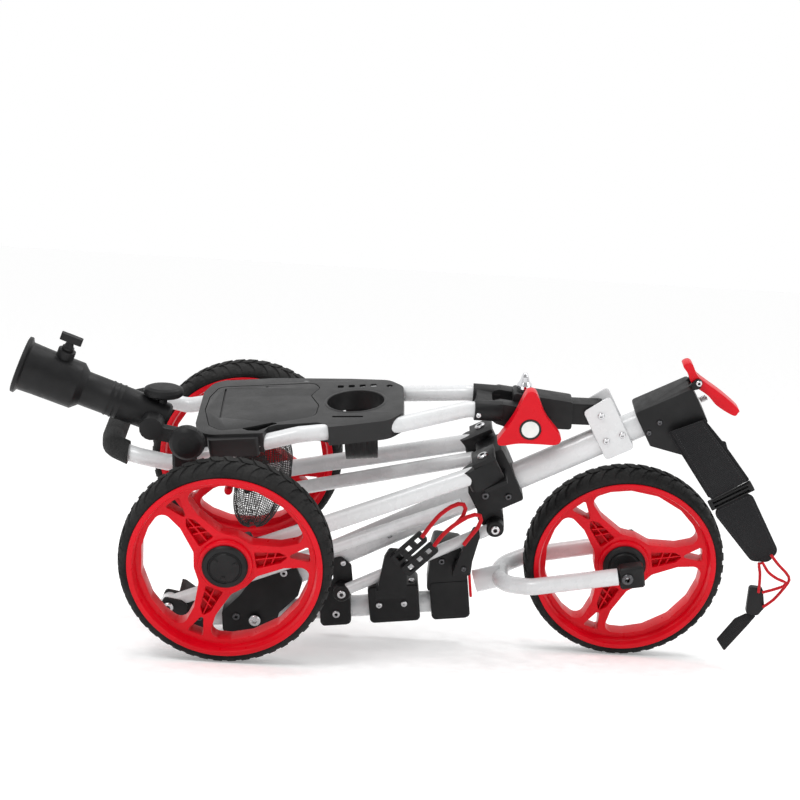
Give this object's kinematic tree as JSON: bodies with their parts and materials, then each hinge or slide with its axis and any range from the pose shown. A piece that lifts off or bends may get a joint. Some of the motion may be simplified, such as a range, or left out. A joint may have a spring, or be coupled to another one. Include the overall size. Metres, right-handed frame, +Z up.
{
  "type": "golf push trolley",
  "caption": "Folding golf push trolley, folded flat: spoked wheels, white tube frame, console with cup hole, umbrella holder, bag straps and bungees.",
  "frame": {"origin": "on the ground under the middle of the folded trolley as it rests", "axes": "+X towards the front wheel, +Y away from the side shown, +Z up"},
  "size_m": [1.1292, 0.5016, 0.4538],
  "materials": {
    "white_paint": "gloss",
    "red_plastic": "semi-gloss",
    "black_plastic": "satin",
    "tyre_eva": "matt foam",
    "grip_rubber": "matt",
    "webbing": "woven",
    "bungee_red": "braided",
    "mesh_fabric": "net",
    "steel": "brushed"
  },
  "bodies": {
    "main_frame": {"main_hinge_bolt": "steel", "main_tube": "white_paint", "mid_bracket": "black_plastic", "main_hinge_bracket": "black_plastic", "rear_stub_tube": "white_paint", "brace_tube": "white_paint", "clevis_block": "black_plastic", "handle_mount_bracket": "white_paint", "stem_outer": "black_plastic", "stem_inner": "black_plastic", "upper_bag_sleeve": "black_plastic", "trigger_spring": "steel", "bag_strap": "webbing", "strap_buckle": "black_plastic", "strap_pad": "webbing", "strap_hook": "black_plastic", "strap_tail": "webbing", "upper_bungee_long": "bungee_red", "upper_bungee_short": "bungee_red"},
    "front_leg": {"keel_tube": "white_paint", "keel_clamp": "black_plastic", "bag_bracket": "black_plastic", "bag_cradle": "black_plastic", "bungee_clips": "black_plastic", "lower_bungee_left": "bungee_red", "lower_bungee_right": "bungee_red", "fork": "white_paint", "fork_end_near": "black_plastic", "fork_end_far": "black_plastic", "fork_lock_tab": "red_plastic", "front_axle": "steel"},
    "front_wheel": {"front_tyre": "tyre_eva", "front_rim": "red_plastic", "front_hub_cap": "black_plastic"},
    "strut_runner": {"strut_runner": "black_plastic"},
    "fold_strut": {"fold_strut": "white_paint"},
    "handle": {"handle_loop": "white_paint", "handle_grip": "grip_rubber", "handle_yoke": "black_plastic", "cup_holder_band": "black_plastic", "accessory_bag": "mesh_fabric", "umbrella_clamp": "black_plastic", "console_tray": "black_plastic"},
    "umbrella_clamp_wheel": {"umbrella_clamp_wheel": "black_plastic"},
    "clamp_knob": {"clamp_knob": "red_plastic"},
    "release_trigger": {"release_trigger": "red_plastic"},
    "console_lid": {"console_lid": "black_plastic"},
    "umbrella_holder": {"umbrella_holder": "black_plastic"},
    "umbrella_knob": {"umbrella_knob": "black_plastic"},
    "rear_arm_near": {"rear_arm_near": "white_paint"},
    "carrier_near": {"wheel_carrier_near": "black_plastic"},
    "rear_wheel_near": {"rear_near_tyre": "tyre_eva", "rear_near_rim": "red_plastic", "rear_near_hub_cap": "black_plastic"},
    "rear_arm_far": {"rear_arm_far": "white_paint", "far_stay_tube": "white_paint"},
    "carrier_far": {"wheel_carrier_far": "black_plastic"},
    "rear_wheel_far": {"rear_far_tyre": "tyre_eva", "rear_far_rim": "red_plastic", "rear_far_hub_cap": "black_plastic"}
  },
  "joints": [
    {"name": "front_leg_fold", "type": "hinge", "parent": "main_frame", "child": "front_leg", "pos_m": [-0.19883, 0.0496, 0.03075], "axis": [0.0272, 0.9583, 0.2846], "range_deg": [0, 110]},
    {"name": "front_wheel_spin", "type": "hinge", "parent": "front_leg", "child": "front_wheel", "pos_m": [0.33862, 0, 0.14638], "axis": [0.0272, 0.9583, 0.2846], "continuous": true},
    {"name": "rear_arm_near_swing", "type": "hinge", "parent": "main_frame", "child": "rear_arm_near", "pos_m": [0.1243, -0.09183, 0.2793], "axis": [-0.4887, -0.2356, 0.8401], "range_deg": [0, 30]},
    {"name": "carrier_near_swing", "type": "hinge", "parent": "rear_arm_near", "child": "carrier_near", "pos_m": [-0.23009, -0.13164, 0.14505], "axis": [-0.4887, -0.2356, 0.8401], "range_deg": [-30, 0]},
    {"name": "rear_wheel_near_spin", "type": "hinge", "parent": "carrier_near", "child": "rear_wheel_near", "pos_m": [-0.238, -0.18399, 0.14637], "axis": [0.0272, 0.9583, 0.2846], "continuous": true},
    {"name": "rear_arm_far_swing", "type": "hinge", "parent": "main_frame", "child": "rear_arm_far", "pos_m": [0.12734, 0.0155, 0.31117], "axis": [-0.4887, -0.2356, 0.8401], "range_deg": [-30, 0]},
    {"name": "carrier_far_swing", "type": "hinge", "parent": "rear_arm_far", "child": "carrier_far", "pos_m": [-0.22236, 0.14051, 0.22588], "axis": [-0.4887, -0.2356, 0.8401], "range_deg": [0, 30]},
    {"name": "rear_wheel_far_spin", "type": "hinge", "parent": "carrier_far", "child": "rear_wheel_far", "pos_m": [-0.22755, 0.18399, 0.25565], "axis": [0.0272, 0.9583, 0.2846], "continuous": true},
    {"name": "strut_runner_slide", "type": "slide", "parent": "main_frame", "child": "strut_runner", "axis": [0.872, -0.1619, 0.4619], "range_m": [-0.2252, 0]},
    {"name": "fold_strut_swing", "type": "hinge", "parent": "strut_runner", "child": "fold_strut", "pos_m": [0.14196, -0.04206, 0.19084], "axis": [0.0272, 0.9583, 0.2846], "range_deg": [-28.5, 0]},
    {"name": "handle_fold", "type": "hinge", "parent": "main_frame", "child": "handle", "pos_m": [0.17945, -0.05961, 0.3623], "axis": [0.0272, 0.9583, 0.2846], "range_deg": [0, 120]},
    {"name": "clamp_knob_turn", "type": "hinge", "parent": "main_frame", "child": "clamp_knob", "pos_m": [0.17945, -0.05961, 0.3623], "axis": [0.0272, 0.9583, 0.2846], "range_deg": [0, 90]},
    {"name": "release_trigger_press", "type": "hinge", "parent": "main_frame", "child": "release_trigger", "pos_m": [0.41335, -0.08448, 0.42369], "axis": [0.0272, 0.9583, 0.2846], "range_deg": [0, 6], "stiffness_Nm_per_rad": 2},
    {"name": "console_lid_hinge", "type": "hinge", "parent": "handle", "child": "console_lid", "pos_m": [-0.20126, 0.03155, 0.37287], "axis": [-0.9931, 0.0585, -0.1019], "range_deg": [0, 65]},
    {"name": "umbrella_holder_tilt", "type": "hinge", "parent": "handle", "child": "umbrella_holder", "pos_m": [-0.35091, -0.09795, 0.33129], "axis": [0.0272, 0.9583, 0.2846], "range_deg": [0, 90]},
    {"name": "umbrella_clamp_wheel_turn", "type": "hinge", "parent": "handle", "child": "umbrella_clamp_wheel", "pos_m": [-0.30038, -0.17131, 0.3029], "axis": [0.0272, 0.9583, 0.2846], "continuous": true},
    {"name": "umbrella_knob_turn", "type": "hinge", "parent": "umbrella_holder", "child": "umbrella_knob", "pos_m": [-0.48912, -0.10769, 0.37731], "axis": [0.3211, -0.278, 0.9053], "continuous": true}
  ],
  "couplings": [
    {"joint": "rear_arm_near_swing", "follows": "front_leg_fold", "ratio": 0.2727},
    {"joint": "carrier_near_swing", "follows": "front_leg_fold", "ratio": -0.2727},
    {"joint": "rear_arm_far_swing", "follows": "front_leg_fold", "ratio": -0.2727},
    {"joint": "carrier_far_swing", "follows": "front_leg_fold", "ratio": 0.2727},
    {"joint": "strut_runner_slide", "follows": "front_leg_fold", "m_per_rad": -0.11725},
    {"joint": "fold_strut_swing", "follows": "front_leg_fold", "ratio": -0.259}
  ]
}
